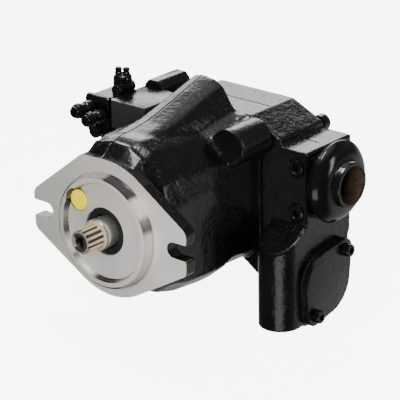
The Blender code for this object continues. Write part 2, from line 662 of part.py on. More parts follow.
def kidney_outline(radius, half_width, start, end, count=6):
    """A kidney slot's outline about the shaft: two arcs and two round ends."""
    points = []
    for i in range(count + 1):
        a = start + (end - start) * i / count
        points.append(((radius + half_width) * math.cos(a), (radius + half_width) * math.sin(a)))
    for i in range(1, 5):
        turn = end + math.pi * i / 5
        points.append((radius * math.cos(end) + half_width * math.cos(turn),
                       radius * math.sin(end) + half_width * math.sin(turn)))
    for i in range(count + 1):
        a = end + (start - end) * i / count
        points.append(((radius - half_width) * math.cos(a), (radius - half_width) * math.sin(a)))
    for i in range(1, 5):
        turn = start + math.pi + math.pi * i / 5
        points.append((radius * math.cos(start) + half_width * math.cos(turn),
                       radius * math.sin(start) + half_width * math.sin(turn)))
    return points


def make_valve_plate():
    ring = turned("valve_plate", [(40, -BARREL_REAR - GAP), (40, -SEAM), (14.5, -SEAM),
                                  (14.5, -BARREL_REAR - GAP)],
                  (0, 0, 0), (0, -1, 0), "bronze", steps=24, ring=True)
    for name, middle in (("suction", 0.0), ("pressure", math.pi)):
        outline = kidney_outline(PITCH_RADIUS, 4.0, middle - 1.1, middle + 1.1)
        cut(ring, plate(f"{name}_kidney_cut", outline, 130, 150, "Y"))
    return ring


def make_retainer():
    retainer = cylinder("retainer_plate", 38.5, (0, 54.3, 0), (0, 56.6, 0), "steel", sides=28)
    cut(retainer, cylinder("retainer_bore", 21.4, (0, 50, 0), (0, 60, 0), sides=20))
    for i in range(PISTONS):
        x = PITCH_RADIUS * math.cos(piston_angle(i))
        z = PITCH_RADIUS * math.sin(piston_angle(i))
        cut(retainer, cylinder(f"retainer_hole_{i + 1}", 8.7, (x, 50, z), (x, 60, z), sides=12))
    ball = 20.6
    zone = [(math.sqrt(ball**2 - h**2), h) for h in (5.0, 2.5, 0.0, -3.0, -6.0)]
    turned("guide_ball", zone + [(17.5, -13.0), (12.4, -13.0), (12.4, 5.0)], (0, PIVOT_Y, 0), (0, -1, 0),
           "steel", steps=20, ring=True)
    coil("barrel_spring", (0, 0), 75.1, 109.2, 15.6, 2.6, 4, points=10)
    return retainer


def make_control_piston():
    """The stroking piston: a round nose on the swash lever, its skirt in the housing's bore."""
    nose = [(4.0 * math.sin(math.radians(a)), 4.0 * math.cos(math.radians(a)) - 4.0)
            for a in (0, 30, 60, 90)]
    turned("control_piston", nose + [(4.0, -12.0), (CONTROL_RADIUS, -14.0), (CONTROL_RADIUS, -60.0),
                                     (0, -60.0)],
           (CONTROL_X, 50 + GAP, CONTROL_Z), (0, -1, 0), "steel", steps=14)
    coil("bias_spring", (CONTROL_X, 59), 22.4, 36.8, 5.4, 1.8, 3, points=8)


# Assembly --------------------------------------------------------------------------------------


def build():
    make_housing()
    make_port_plate()
    make_suction_fitting()
    make_cover()
    for i, (x, z) in enumerate(PLUG_CENTRES, 1):
        make_screw_plug(f"screw_plug_{i}", x, z)
    for i, (x, z) in enumerate(REAR_BOLTS, 1):
        make_bolt(f"plate_bolt_{i}", (x, PLATE_REAR + GAP, z), (0, 1, 0), 5.0, 20.0, 8.0, 9.0, 8.0)
    make_transport_plug()
    make_valve_group()
    make_shaft()
    make_shaft_seal()
    make_bearing("front_bearing", 26.0, 12.3, 8.0, 24.0, -1)
    make_bearing("rear_bearing", 23.7, 10.3, 143.0, 160.0, 1)
    make_swashplate()
    make_cradle_bearing("cradle_bearing_left", -1)
    make_cradle_bearing("cradle_bearing_right", 1)
    make_pistons()
    make_barrel()
    make_valve_plate()
    make_retainer()
    make_control_piston()


build()
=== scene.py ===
"""Looks of a variable axial piston pump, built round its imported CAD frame.

Frame: origin at the centre of the flange register, +Y along the shaft to the rear, +Z up, metres.
"""
import json
import math

import bmesh
import bpy
from mathutils import Matrix, Vector
from mathutils.bvhtree import BVHTree

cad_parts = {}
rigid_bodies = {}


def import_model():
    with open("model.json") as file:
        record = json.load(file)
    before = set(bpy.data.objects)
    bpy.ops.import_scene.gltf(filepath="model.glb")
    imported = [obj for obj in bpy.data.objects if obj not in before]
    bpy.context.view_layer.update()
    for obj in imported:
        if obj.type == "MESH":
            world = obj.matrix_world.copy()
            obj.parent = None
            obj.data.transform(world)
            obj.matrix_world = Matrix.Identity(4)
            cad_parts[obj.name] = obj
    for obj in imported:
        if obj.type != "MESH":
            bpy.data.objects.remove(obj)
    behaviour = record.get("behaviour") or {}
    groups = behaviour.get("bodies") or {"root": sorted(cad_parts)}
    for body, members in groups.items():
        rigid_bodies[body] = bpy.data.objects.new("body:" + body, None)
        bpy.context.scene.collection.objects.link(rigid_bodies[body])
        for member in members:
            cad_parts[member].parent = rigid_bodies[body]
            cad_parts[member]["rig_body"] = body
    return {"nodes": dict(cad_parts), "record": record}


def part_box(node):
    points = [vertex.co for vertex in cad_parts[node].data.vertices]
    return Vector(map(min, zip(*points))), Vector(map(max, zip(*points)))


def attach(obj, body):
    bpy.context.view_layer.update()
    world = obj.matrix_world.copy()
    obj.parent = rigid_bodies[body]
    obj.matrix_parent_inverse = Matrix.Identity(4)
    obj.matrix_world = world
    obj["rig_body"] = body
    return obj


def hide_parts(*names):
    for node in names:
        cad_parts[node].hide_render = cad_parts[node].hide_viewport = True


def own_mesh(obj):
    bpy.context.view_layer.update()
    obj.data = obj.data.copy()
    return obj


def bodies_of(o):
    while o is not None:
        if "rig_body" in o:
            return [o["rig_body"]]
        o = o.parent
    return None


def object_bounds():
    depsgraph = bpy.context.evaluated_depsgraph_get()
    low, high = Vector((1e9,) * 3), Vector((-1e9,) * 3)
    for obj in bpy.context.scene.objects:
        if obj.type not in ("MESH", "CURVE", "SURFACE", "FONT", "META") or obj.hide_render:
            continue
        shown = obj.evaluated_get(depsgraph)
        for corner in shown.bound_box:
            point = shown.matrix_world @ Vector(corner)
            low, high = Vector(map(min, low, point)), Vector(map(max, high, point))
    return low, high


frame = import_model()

CAD_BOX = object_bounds()
NODES = frame["nodes"]
CASE = "pump_case"
MM = 0.001

# Places in metres, from the frame
SEAM_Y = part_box("pump_housing")[1].y
PLATE_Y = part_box("port_plate")[0].y

# Directions, and the frame's origin
FORWARD = (0, -1, 0)
BACKWARD = (0, 1, 0)
SIDEWAYS = (1, 0, 0)
UPWARD = (0, 0, 1)
CENTRE = (0, 0, 0)

# Places in mm, the same as in the CAD apart from SCREW_PLUG_Y
SUCTION = (105.0, 172.0, 19.0)
SCREW_PLUG_Y = 140.0
SCREW_PLUGS = ((93.6, 36.2), (93.6, -5.9))
REAR_Y = 206.3
PLATE_BOLTS = ((67.0, 52.0), (-43.0, 56.0), (42.0, -46.0), (-43.0, -42.0))
COVER_CENTRE = (163.0, -75.0)
COVER_BOLTS = ((187.0, -51.0), (144.0, -100.6))
VALVE_FRONT_Y = 80.0
ADJUSTERS = ((-88.6, 71.6), (-75.4, 66.4))
LIMIT_SCREW = (-76.0, 106.0)
DRAIN_BOSS = (51.5, 98.0, 57.0)

# The transport plug and the hole that it sits in, off centre, in mm
PLUG = (-28.2, 0.0, 22.4)
PLUG_HOLE = (-29.4, 22.9)


# Materials --------------------------------------------------------------------------------------


def new_material(name, color, metallic, roughness):
    """A Principled material; the uniform values sit on the shader's own sockets."""
    mat = bpy.data.materials.new(name)
    mat.use_nodes = True
    shader = mat.node_tree.nodes["Principled BSDF"]
    shader.inputs["Base Color"].default_value = (*color, 1.0)
    shader.inputs["Metallic"].default_value = metallic
    shader.inputs["Roughness"].default_value = roughness
    return mat, shader


def noise(mat, scale, detail=2.0, roughness=0.5, stretch=None):
    """A noise texture in object space; stretch squeezes its coordinates along an axis."""
    tree = mat.node_tree
    coords = tree.nodes.new("ShaderNodeTexCoord")
    tex = tree.nodes.new("ShaderNodeTexNoise")
    tex.inputs["Scale"].default_value = scale
    tex.inputs["Detail"].default_value = detail
    tex.inputs["Roughness"].default_value = roughness
    source = coords.outputs["Object"]
    if stretch:
        mapping = tree.nodes.new("ShaderNodeMapping")
        mapping.inputs["Scale"].default_value = stretch
        tree.links.new(source, mapping.inputs["Vector"])
        source = mapping.outputs["Vector"]
    tree.links.new(source, tex.inputs["Vector"])
    return tex


def ramp(mat, source, low, high, start=0.3, end=0.7):
    """Map a 0-1 value to colours between low and high."""
    node = mat.node_tree.nodes.new("ShaderNodeValToRGB")
    node.color_ramp.elements[0].position = start
    node.color_ramp.elements[1].position = end
    node.color_ramp.elements[0].color = (*low, 1.0)
    node.color_ramp.elements[1].color = (*high, 1.0)
    mat.node_tree.links.new(source, node.inputs["Fac"])
    return node


def bump(mat, shader, sources, below=None):
    """Chain bump nodes: sources are (texture, strength, distance in metres)."""
    previous = below
    for tex, strength, distance in sources:
        node = mat.node_tree.nodes.new("ShaderNodeBump")
        node.inputs["Strength"].default_value = strength
        node.inputs["Distance"].default_value = distance
        mat.node_tree.links.new(tex.outputs["Fac"], node.inputs["Height"])
        if previous:
            mat.node_tree.links.new(previous.outputs["Normal"], node.inputs["Normal"])
        previous = node
    mat.node_tree.links.new(previous.outputs["Normal"], shader.inputs["Normal"])


def cast_paint():
    """Gloss black paint over as-cast iron: an orange peel over the casting's sandy unevenness."""
    mat, shader = new_material("cast_paint", (0.004, 0.004, 0.0035), 0.0, 0.17)
    shader.inputs["Coat Weight"].default_value = 0.3
    shader.inputs["Coat Roughness"].default_value = 0.05
    tint = noise(mat, 60, 4)
    colors = ramp(mat, tint.outputs["Fac"], (0.003, 0.003, 0.0025), (0.006, 0.0055, 0.005))
    mat.node_tree.links.new(colors.outputs["Color"], shader.inputs["Base Color"])
    gloss = ramp(mat, noise(mat, 240, 3).outputs["Fac"], (0.10, 0.10, 0.10), (0.30, 0.30, 0.30))
    mat.node_tree.links.new(gloss.outputs["Color"], shader.inputs["Roughness"])
    bump(mat, shader, [
        (noise(mat, 75, 2), 0.55, 0.0012),
        (noise(mat, 260, 3, 0.6), 0.7, 0.0009),
    ])
    return mat


def smooth_paint(name="smooth_paint", color=(0.004, 0.004, 0.0035), roughness=0.16, coat=0.3):
    """The same paint over machined or formed steel, nearly flat."""
    mat, shader = new_material(name, color, 0.0, roughness)
    shader.inputs["Coat Weight"].default_value = coat
    low, high = (roughness * 0.6,) * 3, (roughness * 1.5,) * 3
    gloss = ramp(mat, noise(mat, 160, 3).outputs["Fac"], low, high)
    mat.node_tree.links.new(gloss.outputs["Color"], shader.inputs["Roughness"])
    bump(mat, shader, [(noise(mat, 120, 2), 0.3, 0.0005)])
    return mat


def machined_face_painted_highlight():
    """A milled iron face: warm grey with fine tool marks, and a painted highlight that makes it paler towards
    +X, standing in for the light falling on that side.
    """
    mat, shader = new_material("machined_face_painted_highlight", (0.60, 0.575, 0.54), 0.35, 0.36)
    tree = mat.node_tree
    coords = tree.nodes.new("ShaderNodeTexCoord")
    split = tree.nodes.new("ShaderNodeSeparateXYZ")
    tree.links.new(coords.outputs["Object"], split.inputs["Vector"])
    # Painted highlight: the base colour runs from a darker grey at -X to a paler one at +X, in place of
    # light.
    across = tree.nodes.new("ShaderNodeMapRange")
    across.inputs["From Min"].default_value = -0.085
    across.inputs["From Max"].default_value = 0.075
    tree.links.new(split.outputs["X"], across.inputs["Value"])
    base = ramp(mat, across.outputs["Result"], (0.47, 0.455, 0.42), (0.78, 0.74, 0.69), 0.0, 1.0)
    mottle = ramp(mat, noise(mat, 30, 4).outputs["Fac"], (0.9, 0.9, 0.9), (1.06, 1.06, 1.06))
    tint = tree.nodes.new("ShaderNodeMix")
    tint.data_type = "RGBA"
    tint.blend_type = "MULTIPLY"
    tint.inputs["Factor"].default_value = 1.0
    tree.links.new(base.outputs["Color"], tint.inputs[6])
    tree.links.new(mottle.outputs["Color"], tint.inputs[7])
    tree.links.new(tint.outputs[2], shader.inputs["Base Color"])
    gloss = ramp(mat, noise(mat, 120, 3).outputs["Fac"], (0.30, 0.30, 0.30), (0.42, 0.42, 0.42))
    tree.links.new(gloss.outputs["Color"], shader.inputs["Roughness"])
    bump(mat, shader, [(noise(mat, 900, 1, 0.4, (1, 1, 0.12)), 0.15, 0.00008)])
    return mat


# Shades painted round the pilot's turned walls: (share of a turn from +X towards +Z, shade).
# They imitate reflections seen from the camera's side, and stay put on the metal in every other view.
PAINTED_WALL_REFLECTIONS = (
    (0.00, 0.20), (0.03, 0.10), (0.055, 0.60), (0.075, 0.95), (0.095, 0.90), (0.115, 0.25), (0.14, 0.80),
    (0.165, 0.98), (0.195, 0.90), (0.225, 0.06), (0.29, 0.03), (0.335, 0.40), (0.45, 0.75), (0.525, 0.75),
    (0.545, 0.15), (0.565, 0.25), (0.59, 0.95), (0.625, 0.95), (0.645, 0.06), (0.73, 0.05), (0.75, 0.50),
    (0.82, 0.60), (0.88, 0.12), (0.94, 0.06), (0.975, 0.35), (1.00, 0.20),
)


def iron_painted_reflections():
    """The pilot's turned wall, with painted reflections: bright and dark fans painted round it in its base
    colour.
    """
    mat, shader = new_material("iron_painted_reflections", (0.72, 0.69, 0.64), 0.5, 0.22)
    tree = mat.node_tree
    coords = tree.nodes.new("ShaderNodeTexCoord")
    mapping = tree.nodes.new("ShaderNodeMapping")
    mapping.inputs["Rotation"].default_value = (math.radians(-90), 0, 0)
    angle = tree.nodes.new("ShaderNodeTexGradient")
    angle.gradient_type = "RADIAL"
    tree.links.new(coords.outputs["Object"], mapping.inputs["Vector"])
    tree.links.new(mapping.outputs["Vector"], angle.inputs["Vector"])
    painted_reflection_ramp = tree.nodes.new("ShaderNodeValToRGB")
    painted_reflection_ramp.color_ramp.interpolation = "EASE"
    stops = painted_reflection_ramp.color_ramp.elements
    for i, (place, value) in enumerate(PAINTED_WALL_REFLECTIONS):
        stop = stops[i] if i < 2 else stops.new(place)
        stop.position = place
        stop.color = (value, value * 0.96, value * 0.90, 1)
    tree.links.new(angle.outputs["Fac"], painted_reflection_ramp.inputs["Fac"])
    tree.links.new(painted_reflection_ramp.outputs["Color"], shader.inputs["Base Color"])
    gloss = ramp(mat, noise(mat, 200, 2).outputs["Fac"], (0.18, 0.18, 0.18), (0.28, 0.28, 0.28))
    tree.links.new(gloss.outputs["Color"], shader.inputs["Roughness"])
    bump(mat, shader, [(noise(mat, 700, 1, 0.4, (0.15, 6, 0.15)), 0.1, 0.00004)])
    return mat


def steel(name, color, roughness, along=(1, 1, 1), metallic=1.0):
    """Bare steel with a faint grain."""
    mat, shader = new_material(name, color, metallic, roughness)
    low = tuple(c * 0.8 for c in color)
    tint = noise(mat, 140, 3)
    colors = ramp(mat, tint.outputs["Fac"], low, color)
    mat.node_tree.links.new(colors.outputs["Color"], shader.inputs["Base Color"])
    bump(mat, shader, [(noise(mat, 800, 1, 0.4, along), 0.15, 0.00005)])
    return mat


def rubber():
    """Matt black rubber with a fine grain."""
    mat, shader = new_material("rubber", (0.012, 0.012, 0.012), 0.0, 0.55)
    bump(mat, shader, [(noise(mat, 500, 2), 0.3, 0.0001)])
    return mat


def yellow_plastic():
    """Moulded yellow plastic with a slight mottle."""
    mat, shader = new_material("yellow_plastic", (0.86, 0.72, 0.02), 0.0, 0.5)
    shader.inputs["Specular IOR Level"].default_value = 0.2
    colors = ramp(mat, noise(mat, 110, 2).outputs["Fac"], (0.88, 0.66, 0.0), (1.0, 0.82, 0.003))
    mat.node_tree.links.new(colors.outputs["Color"], shader.inputs["Base Color"])
    bump(mat, shader, [(noise(mat, 250, 2), 0.2, 0.0001)])
    return mat


def rust_and_painted_shade():
    """The inside of the suction fitting: brown, dull and rough; the same brown also stands as painted shade
    in the hole round the transport plug.
    """
    mat, shader = new_material("rust_and_painted_shade", (0.05, 0.030, 0.022), 0.0, 0.65)
    colors = ramp(mat, noise(mat, 260, 4, 0.7).outputs["Fac"], (0.028, 0.017, 0.013), (0.085, 0.05, 0.035))
    mat.node_tree.links.new(colors.outputs["Color"], shader.inputs["Base Color"])
    bump(mat, shader, [(noise(mat, 380, 4), 0.6, 0.0004)])
    return mat


CAST = cast_paint()
PAINT = smooth_paint()
SATIN = smooth_paint("satin_paint", (0.020, 0.020, 0.019), 0.32, 0.0)
MATT = smooth_paint("matt_paint", (0.006, 0.0055, 0.005), 0.6, 0.0)
FACE = machined_face_painted_highlight()
REFLECTION_PAINTED_IRON = iron_painted_reflections()
STEEL = steel("steel", (0.70, 0.68, 0.64), 0.2, metallic=0.85)
GOLDEN = steel("golden_steel", (0.95, 0.80, 0.52), 0.2, (6, 0.1, 6), 0.55)
SHAFT_END = steel("shaft_end", (0.40, 0.37, 0.33), 0.35, metallic=0.5)
# Painted shade: a near-black steel for the spline's roots and the shaft's centre hole.
PAINTED_SHADE_STEEL = steel("spline_root_painted_shade", (0.07, 0.06, 0.05), 0.4, metallic=0.5)
SPRING = steel("spring_wire", (0.34, 0.34, 0.35), 0.35)
BRONZE = steel("bronze", (0.55, 0.38, 0.16), 0.35)
RUBBER = rubber()
YELLOW = yellow_plastic()
RUST_AND_PAINTED_SHADE = rust_and_painted_shade()
SLOT_LOOKS = {
    "black_paint": PAINT, "steel": STEEL, "bronze": BRONZE, "seal_rubber": RUBBER,
    "yellow_plastic": YELLOW, "spring_steel": SPRING,
}


# Mesh helpers -----------------------------------------------------------------------------------


def piece(name, mesh, body, slot, *looks, replaced=()):
    """A new piece in the scene: its looks, the body it rides on and the CAD nodes it stands for."""
    obj = bpy.data.objects.new(name, mesh)
    bpy.context.scene.collection.objects.link(obj)
    for look in looks:
        mesh.materials.append(look)
    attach(obj, body)
    if replaced:
        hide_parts(*replaced)
    return obj


def body_of(node):
    """The name of the body that a CAD node rides on."""
    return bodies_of(NODES[node])[0]


def to_mesh(bm, name, smooth_angle=30):
    """Turn a bmesh into a mesh, shaded smooth except across edges sharper than the angle."""
    mesh = bpy.data.meshes.new(name)
    bm.to_mesh(mesh)
    bm.free()
    if smooth_angle:
        mesh.shade_smooth()
        mesh.set_sharp_from_angle(angle=math.radians(smooth_angle))
    return mesh


def node_bmesh(node):
    """The CAD node's mesh with its split corners welded."""
    bm = bmesh.new()
    bm.from_mesh(NODES[node].data)
    bmesh.ops.remove_doubles(bm, verts=bm.verts, dist=1e-5)
    for layer in list(bm.loops.layers.uv):
        bm.loops.layers.uv.remove(layer)
    return bm


def trim(bm, y, keep_rear):
    """Cut the mesh at a plane of constant Y, close the cut and return its faces."""
    geom = bm.verts[:] + bm.edges[:] + bm.faces[:]
    bmesh.ops.bisect_plane(
        bm, geom=geom, dist=1e-7, plane_co=(0, y, 0), plane_no=(0, 1, 0),
        clear_inner=keep_rear, clear_outer=not keep_rear,
    )
    rim = [e for e in bm.edges if e.is_boundary]
    filled = bmesh.ops.triangle_fill(bm, use_beauty=True, use_dissolve=False, edges=rim)
    return [g for g in filled["geom"] if isinstance(g, bmesh.types.BMFace)]


def evaluated(mesh, *modifiers):
    """The mesh after modifiers, each (type, settings)."""
    obj = bpy.data.objects.new("work", mesh)
    bpy.context.scene.collection.objects.link(obj)
    for kind, settings in modifiers:
        mod = obj.modifiers.new(kind.lower(), kind)
        for key, value in settings.items():
            setattr(mod, key, value)
    bpy.context.view_layer.update()
    depsgraph = bpy.context.evaluated_depsgraph_get()
    result = bpy.data.meshes.new_from_object(obj.evaluated_get(depsgraph))
    bpy.data.objects.remove(obj)
    return result


def soften(mesh, voxel, passes):
    """Turn sharp CAD corners into a casting's rounded ones: voxel remesh, then smooth."""
    return evaluated(
        mesh,
        ("REMESH", {"mode": "VOXEL", "voxel_size": voxel, "use_smooth_shade": True}),
        ("SMOOTH", {"factor": 0.5, "iterations": passes}),
    )


def turned(profile, origin, direction, steps=96, smooth_angle=32):
    """A closed profile of (radius, height) in mm, turned about direction through origin (mm)."""
    bm = bmesh.new()
    verts = [bm.verts.new((r * MM, 0.0, h * MM)) for r, h in profile]
    edges = [bm.edges.new((a, b)) for a, b in zip(verts, verts[1:] + verts[:1])]
    bmesh.ops.spin(
        bm, geom=verts + edges, cent=(0, 0, 0), axis=(0, 0, 1), angle=math.tau,
        steps=steps, use_duplicate=False,
    )
    bmesh.ops.remove_doubles(bm, verts=bm.verts, dist=2e-6)
    bmesh.ops.recalc_face_normals(bm, faces=bm.faces)
    turn = Vector(direction).to_track_quat("Z", "Y").to_matrix().to_4x4()
    bm.transform(Matrix.Translation(Vector(origin) * MM) @ turn)
    return to_mesh(bm, "turned", smooth_angle)


def prism(outline, low, high, axis, bevel=0.0, segments=3):
    """An outline in mm extruded along an axis, with its end edges rounded.

    The outline's coordinates are (Y, Z) for X, (X, Z) for Y and (X, Y) for Z.
    """
    place = {
        "X": lambda u, v, w: (w, u, v),
        "Y": lambda u, v, w: (u, w, v),
        "Z": lambda u, v, w: (u, v, w),
    }[axis]
    bm = bmesh.new()
    base = [bm.verts.new(Vector(place(u, v, low)) * MM) for u, v in outline]
    top = [bm.verts.new(Vector(place(u, v, high)) * MM) for u, v in outline]
    ends = [bm.faces.new(base), bm.faces.new(top)]
    for i in range(len(outline)):
        j = (i + 1) % len(outline)
        bm.faces.new((base[i], base[j], top[j], top[i]))
    bmesh.ops.recalc_face_normals(bm, faces=bm.faces)
    if bevel:
        edges = [e for e in bm.edges if e.link_faces[0] in ends or e.link_faces[1] in ends]
        sharp = [e for e in bm.edges if e not in edges and e.calc_face_angle(0) > math.radians(25)]
        bmesh.ops.bevel(
            bm, geom=edges + sharp, offset=bevel * MM, segments=segments, profile=0.5,
            affect="EDGES", clamp_overlap=True,
        )
    return to_mesh(bm, "prism", 18)


def disc_outline(discs, count=120):
    """The outline round discs (u, v, radius), with straight tangents between them."""
    points = []
    for i in range(count):
        angle = math.tau * i / count
        du, dv = math.cos(angle), math.sin(angle)
        u, v, r = max(discs, key=lambda d: d[0] * du + d[1] * dv + d[2])
        points.append((u + r * du, v + r * dv))
    return points


def merged(*meshes):
    """Several meshes as one, keeping their material slots' indices."""
    bm = bmesh.new()
    for mesh in meshes:
        bm.from_mesh(mesh)
    return to_mesh(bm, "merged", 0)


def boolean(mesh, tool, operation="DIFFERENCE"):
    """One exact Boolean of two meshes."""
    other = bpy.data.objects.new("tool", tool)
    bpy.context.scene.collection.objects.link(other)
    result = evaluated(mesh, ("BOOLEAN", {"object": other, "operation": operation, "solver": "EXACT"}))
    bpy.data.objects.remove(other)
    return result


def keep_sharp(mesh, angle=30):
    """Shade a mesh smooth except across edges sharper than the angle in degrees."""
    mesh.shade_smooth()
    mesh.set_sharp_from_angle(angle=math.radians(angle))
    return mesh


def off_axis(point):
    """A point's distance in metres from the shaft's axis."""
    return math.hypot(point.x, point.z)


def paint_faces(mesh, index, test):
    """Give a material index to the faces whose centre and normal pass the test."""
    for face in mesh.polygons:
        if test(face.center, face.normal):
            face.material_index = index


# Castings ---------------------------------------------------------------------------------------

SMOOTHER_FROM_Y = 16.5 * MM
FRONT_CUT = 0.6 * MM
STRETCH = 8 * MM
WEB_SECTIONS = ((-27, 61.6, 71.5), (-8, 63.0, 75.5), (11, 61.8, 74.0), (27, 56.5, 66.0))
WEB_FRONT_Y, WEB_REAR_Y, WEB_FOOT_Z = 1.2, 23.0, 49


def front_web():
    """The casting's sloping web between the flange's top edge and the hump.

    A section is (X, height of the flange's edge, height of the web's top), in mm.
    """
    bm = bmesh.new()
    for x, edge, top in WEB_SECTIONS:
        for y, z in (
            (WEB_FRONT_Y, edge - 0.9), (3.5, edge + 0.3), (16.0, top), (WEB_REAR_Y, top - 5),
            (WEB_REAR_Y, WEB_FOOT_Z), (WEB_FRONT_Y, WEB_FOOT_Z),
        ):
            bm.verts.new(Vector((x, y, z)) * MM)
    hull = bmesh.ops.convex_hull(bm, input=bm.verts)
    unused = [g for g in hull["geom_interior"] + hull["geom_unused"] if isinstance(g, bmesh.types.BMVert)]
    bmesh.ops.delete(bm, geom=list(set(unused)), context="VERTS")
    return to_mesh(bm, "front_web", 0)


def build_housing():
    """The cast body and flange: rounded everywhere but at the machined flange face and the rear seam.

    Both ends are stretched before the rounding and trimmed back after it, so their edges stay sharp.
    """
    whole = boolean(to_mesh(node_bmesh("pump_housing"), "housing_cad", 0), front_web(), "UNION")
    bm = bmesh.new()
    bm.from_mesh(whole)
    bmesh.ops.remove_doubles(bm, verts=bm.verts, dist=1e-5)
    trim(bm, FRONT_CUT, True)
    for vert in bm.verts:
        if vert.co.y < FRONT_CUT + 1e-5:
            vert.co.y = -STRETCH
        elif vert.co.y > SEAM_Y - 1e-4:
            vert.co.y = SEAM_Y + STRETCH
    rough = to_mesh(bm, "housing_rough", 0)
    soft = soften(rough, 1.25 * MM, 5)
    bm = bmesh.new()
    bm.from_mesh(soft)
    body = [v for v in bm.verts if v.co.y > SMOOTHER_FROM_Y]
    for _ in range(9):
        bmesh.ops.smooth_vert(bm, verts=body, factor=0.5, use_axis_x=True, use_axis_y=True, use_axis_z=True)
    trim(bm, SEAM_Y, False)
    front = set(trim(bm, 0.0, True))
    for face in front:
        face.material_index = 1
    mesh = to_mesh(bm, "housing_cast", 40)
    piece("housing_casting", mesh, CASE, "black_paint", CAST, FACE, MATT, replaced=("pump_housing",))

    def flange_top(p, n):
        return 0.3 * MM < p.y < 13.5 * MM and p.z > 46 * MM and n.y > -0.5 and p.x < 40 * MM

    paint_faces(mesh, 2, flange_top)


def build_pilot():
    """The flange's turned pilot: a wall with painted reflections, pale face with a shallow recess, dark seal
    bore, and painted shade in the plug's hole.
    """
    profile = [
        (20.8, 6.0), (20.8, -4.0), (21.6, -5.0),
        (42.6, -5.0), (43.4, -5.4), (44.2, -8.9), (44.9, -9.7),
        (48.9, -9.7), (50.0, -9.3), (50.6, -8.6), (50.8, -7.6),
        (50.8, -1.2), (51.2, -0.5), (52.0, -0.15), (52.6, -0.02), (52.6, 0.4), (26.2, 0.6), (26.2, 6.0),
    ]
    mesh = turned(profile, CENTRE, BACKWARD, 160, 28)
    hole_x, hole_z = PLUG_HOLE
    hole = turned([(0, 12), (10.9, 12), (10.9, 0.2), (0, 0.2)], (hole_x, 0, hole_z), FORWARD, 64)
    mesh = boolean(mesh, hole)
    mesh.set_sharp_from_angle(angle=math.radians(28))
    mesh.materials.clear()
    piece("pilot_ring", mesh, CASE, "steel", FACE, REFLECTION_PAINTED_IRON, STEEL, RUST_AND_PAINTED_SHADE, replaced=("pump_housing",))

    def in_hole(p, n):
        return math.hypot(p.x - hole_x * MM, p.z - hole_z * MM) < 10.95 * MM and p.y > -4.95 * MM

    # Painted reflections: the outer wall and the recess wall take the iron with fans painted round it.
    paint_faces(mesh, 1, lambda p, n: off_axis(p) > 49.2 * MM and abs(n.y) < 0.94)
    paint_faces(mesh, 1, lambda p, n: 42.5 * MM < off_axis(p) < 45.2 * MM and n.y > -0.9)
    paint_faces(mesh, 2, lambda p, n: off_axis(p) < 21.2 * MM)
    # Painted shade: the hole round the transport plug gets the dull brown, standing in for the shade in the
    # gap round the plug.
    paint_faces(mesh, 3, in_hole)


def build_port_plate():
    """The rear casting with the side block and lower column; its joint with the housing stays sharp."""
    bm = node_bmesh("port_plate")
    joint_right = 55.5
    for vert in bm.verts:
        if vert.co.y < PLATE_Y + 1e-4 and vert.co.x < joint_right * MM:
            vert.co.y = PLATE_Y - STRETCH
    rough = to_mesh(bm, "plate_rough", 0)
    mesh = soften(rough, 1.3 * MM, 4)
    outline = ((-120, -130), (joint_right, -130), (joint_right, 130), (-120, 130))
    overhang = prism(outline, 100, PLATE_Y / MM, "Y")
    mesh = keep_sharp(boolean(mesh, overhang), 40)
    piece("port_plate_casting", mesh, CASE, "black_paint", CAST, replaced=("port_plate",))


# Turned and fitted parts -------------------------------------------------------------------------


def hexagon(across):
    """The corners of a hexagon, from its size across flats."""
    radius = across / math.sqrt(3)
    turns = [math.radians(60 * i) for i in range(6)]
    return [(radius * math.cos(a), radius * math.sin(a)) for a in turns]


def hex_pocket(across, origin, direction, depth):
    """A closed hexagonal prism from origin, back along direction."""
    bm = bmesh.new()
    rings = [[bm.verts.new((u * MM, v * MM, h * MM)) for u, v in hexagon(across)] for h in (-depth, 4.0)]
    bm.faces.new(rings[0])
    bm.faces.new(rings[1])
    for i in range(6):
        j = (i + 1) % 6
        bm.faces.new((rings[0][i], rings[0][j], rings[1][j], rings[1][i]))
    bmesh.ops.recalc_face_normals(bm, faces=bm.faces)
    turn = Vector(direction).to_track_quat("Z", "Y").to_matrix().to_4x4()
    bm.transform(Matrix.Translation(Vector(origin) * MM) @ turn)
    return to_mesh(bm, "hex_pocket", 0)


def build_suction_fitting():
    """The suction stub: stepped flange rings, a domed shoulder and a short nose."""
    profile = [
        (16.5, 0.3), (16.5, 24.4), (16.8, 25.3), (17.5, 25.9), (19.4, 26.0), (20.3, 25.7), (20.8, 24.9),
        (20.9, 21.4), (21.4, 20.3), (22.6, 19.8), (26.0, 19.3), (29.6, 17.8), (32.8, 15.6), (35.2, 13.2),
        (36.9, 10.9), (37.4, 9.8), (37.5, 8.9), (37.2, 8.1), (36.4, 7.6), (35.0, 7.4), (34.5, 7.1),
        (34.3, 6.4), (34.5, 5.8), (35.2, 5.5), (35.3, 4.9), (34.9, 4.4), (33.2, 4.2), (32.7, 3.9),
        (32.6, 3.3), (33.0, 2.9), (33.0, 2.3), (32.6, 1.9), (31.2, 1.7), (31.0, 0.3),
    ]
    mesh = turned(profile, SUCTION, SIDEWAYS, 128, 34)
    piece("suction_stub", mesh, body_of("suction_fitting"), "black_paint", PAINT, RUST_AND_PAINTED_SHADE,
          replaced=("suction_fitting",))
    centre_y, centre_z = SUCTION[1] * MM, SUCTION[2] * MM
    paint_faces(mesh, 1, lambda p, n: math.hypot(p.y - centre_y, p.z - centre_z) < 16.7 * MM)


# One spline tooth, as (share of the tooth's pitch, radius)
TOOTH = (
    (-0.5, 9.5), (-0.32, 9.6), (-0.25, 10.2), (-0.17, 11.0), (-0.12, 11.15),
    (0.12, 11.15), (0.17, 11.0), (0.25, 10.2), (0.32, 9.6),
)
TEETH = 13


